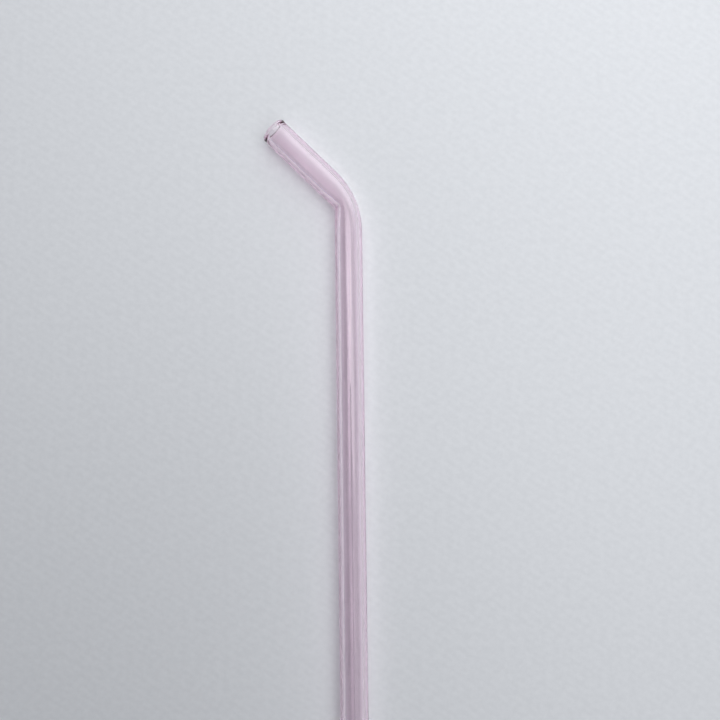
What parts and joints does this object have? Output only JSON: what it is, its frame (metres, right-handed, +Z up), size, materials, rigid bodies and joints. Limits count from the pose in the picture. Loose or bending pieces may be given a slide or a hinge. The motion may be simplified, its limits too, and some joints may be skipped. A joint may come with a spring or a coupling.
{
  "type": "bent glass drinking straw",
  "caption": "Rigid drinking straw of pale pink glass tube: a long straight leg, one 45 degree bend and a short mouth arm, with fire-polished lips.",
  "frame": {"origin": "on the surface the straw lies on, under the middle of its box", "axes": "+Y along the long leg, towards the bend; the mouth arm turns off towards -X; +Z up from the surface"},
  "size_m": [0.0289, 0.1944, 0.0082],
  "materials": {
    "pink_glass": "clear, flame polished"
  },
  "bodies": {
    "root": {"straw": "pink_glass"}
  },
  "joints": []
}
